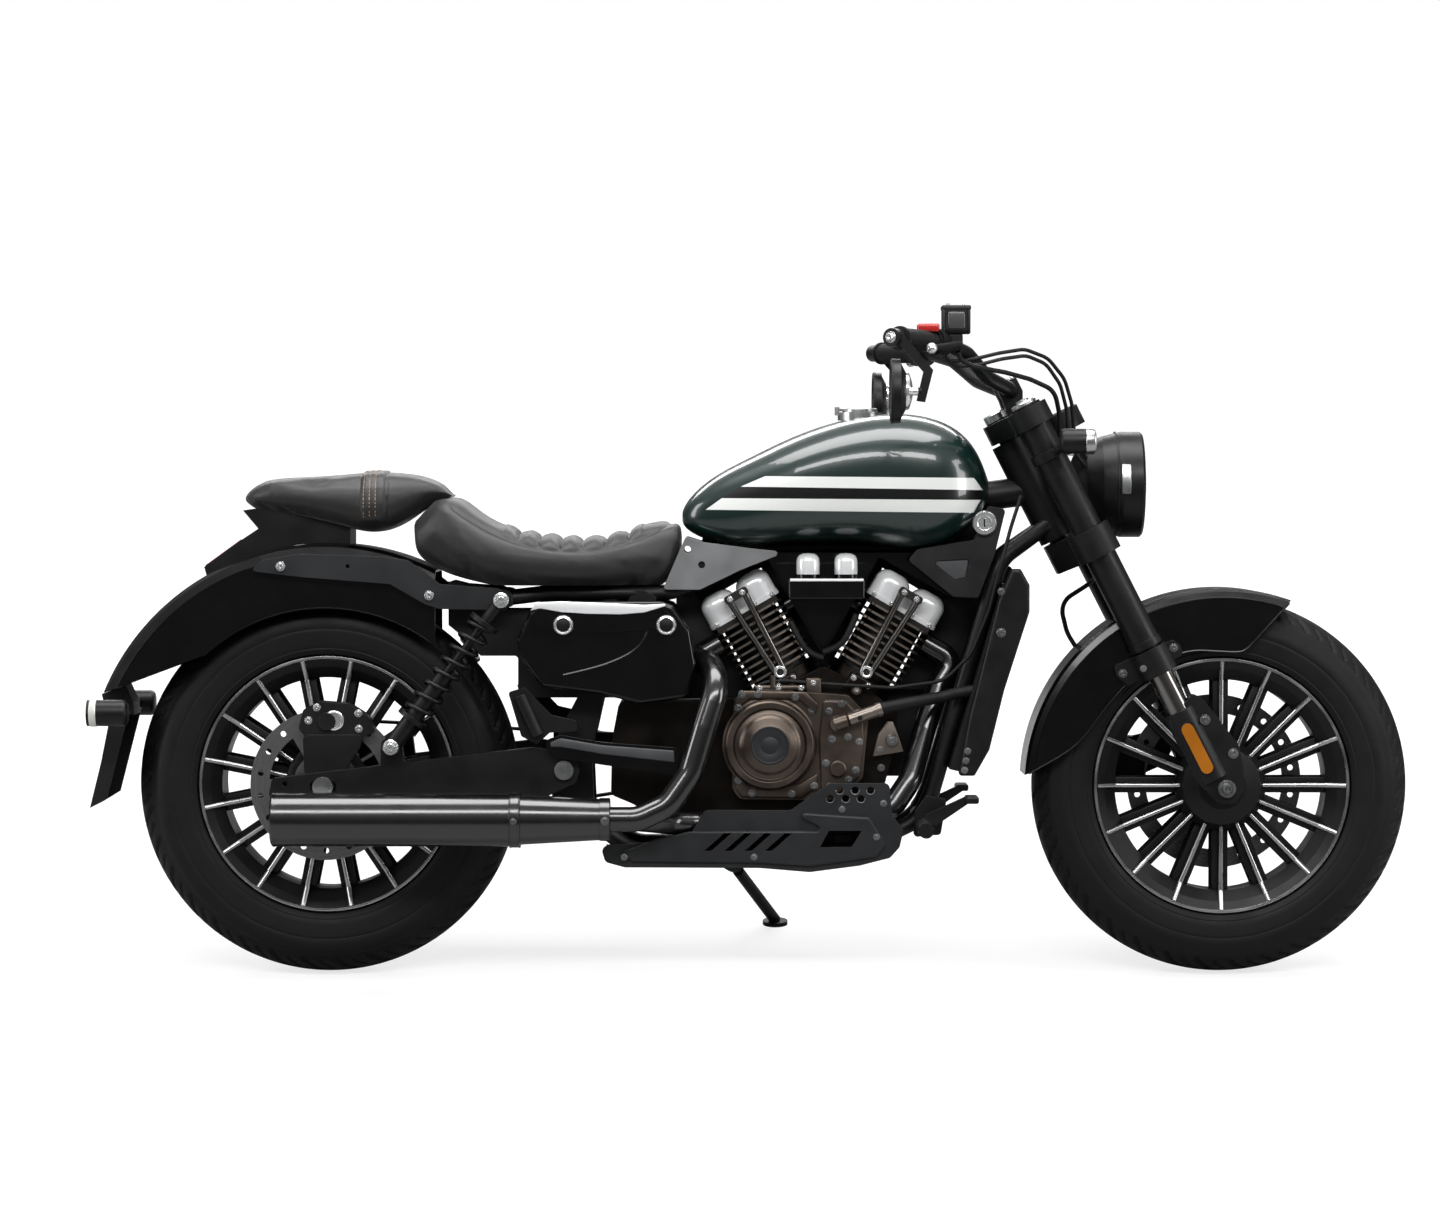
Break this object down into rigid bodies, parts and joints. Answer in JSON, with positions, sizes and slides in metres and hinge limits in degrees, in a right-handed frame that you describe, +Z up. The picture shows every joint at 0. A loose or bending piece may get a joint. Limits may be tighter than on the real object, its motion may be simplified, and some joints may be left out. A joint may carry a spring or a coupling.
{
  "type": "cruiser motorcycle",
  "caption": "Low V-twin cruiser motorcycle leaning on its side stand, with turning wheels, steering, stand and filler lid.",
  "frame": {"origin": "on the floor, at the middle of the parked machine's bounding box", "axes": "+X forward, +Y to the rider's left, the side it leans to, +Z up"},
  "size_m": [2.2399, 0.9212, 1.1573],
  "materials": {
    "tyre": "matt",
    "wheel_black": "satin",
    "disc_steel": "brushed",
    "frame_black": "satin",
    "steel": "plated",
    "rubber": "matt",
    "spring_chrome": "chrome",
    "body_black": "gloss",
    "grey_cast": "satin",
    "black_plastic": "matt",
    "peg_black": "satin",
    "indicator": "clear",
    "tank_green": "gloss",
    "silver": "satin",
    "leather": "satin",
    "engine_bronze": "satin",
    "fin_grey": "satin",
    "exhaust_black": "satin",
    "fork_black": "satin",
    "lens": "clear"
  },
  "bodies": {
    "front_wheel": {"front_tyre": "tyre", "front_rim": "wheel_black", "front_brake_disc": "disc_steel"},
    "rear_wheel": {"rear_tyre": "tyre", "rear_rim": "wheel_black", "rear_brake_disc": "disc_steel", "rear_pulley": "wheel_black"},
    "chassis": {"main_frame": "frame_black", "frame_covers": "frame_black", "swingarm": "frame_black", "pivot_shaft": "steel", "rear_axle": "steel", "rear_caliper": "frame_black", "drive_belt": "rubber", "front_pulley": "steel", "shocks": "spring_chrome", "rear_fender": "body_black", "fender_struts": "grey_cast", "tail_trim": "body_black", "plate_holder": "black_plastic", "rear_indicators": "indicator", "battery_box": "frame_black", "side_covers": "body_black", "passenger_pegs": "peg_black", "fuel_tank": "tank_green", "filler_neck": "silver", "rider_seat": "leather", "pillion_seat": "leather", "crankcase": "engine_bronze", "clutch_cover": "engine_bronze", "left_covers": "engine_bronze", "cylinders": "fin_grey", "rocker_covers": "spring_chrome", "pushrods": "spring_chrome", "intake": "engine_bronze", "radiator": "black_plastic", "radiator_shrouds": "body_black", "exhaust_headers": "exhaust_black", "muffler": "exhaust_black", "belly_pan": "grey_cast", "foot_controls": "peg_black", "clutch_cable": "rubber"},
    "filler_lid": {"filler_lid": "silver"},
    "side_stand": {"side_stand": "frame_black"},
    "steering": {"fork_tubes": "fork_black", "fork_feet": "fork_black", "lower_clamp": "frame_black", "upper_clamp": "frame_black", "front_axle": "steel", "front_caliper": "frame_black", "front_fender": "body_black", "headlamp": "body_black", "headlamp_lens": "lens", "instrument": "body_black", "handlebar": "frame_black", "grips": "rubber", "hand_controls": "black_plastic", "mirrors": "spring_chrome", "front_indicators": "indicator", "control_cables": "rubber"}
  },
  "joints": [
    {"name": "rear_wheel_spin", "type": "hinge", "parent": "chassis", "child": "rear_wheel", "pos_m": [-0.72, -0.11426, 0.32014], "axis": [0, 0.9848, -0.1736], "continuous": true},
    {"name": "steering_turn", "type": "hinge", "parent": "chassis", "child": "steering", "pos_m": [0.47771, -0.02654, 0.81765], "axis": [-0.454, 0.1547, 0.8775], "range_deg": [-35, 35]},
    {"name": "front_wheel_spin", "type": "hinge", "parent": "steering", "child": "front_wheel", "pos_m": [0.8, -0.11496, 0.3162], "axis": [0, 0.9848, -0.1736], "continuous": true},
    {"name": "side_stand_swing", "type": "hinge", "parent": "chassis", "child": "side_stand", "pos_m": [-0.03, -0.00707, 0.14486], "axis": [0.1959, 0.6752, 0.7112], "range_deg": [0, 105]},
    {"name": "filler_lid_hinge", "type": "hinge", "parent": "chassis", "child": "filler_lid", "pos_m": [0.147, -0.00382, 0.94648], "axis": [0, -0.9848, 0.1736], "range_deg": [0, 100]}
  ]
}
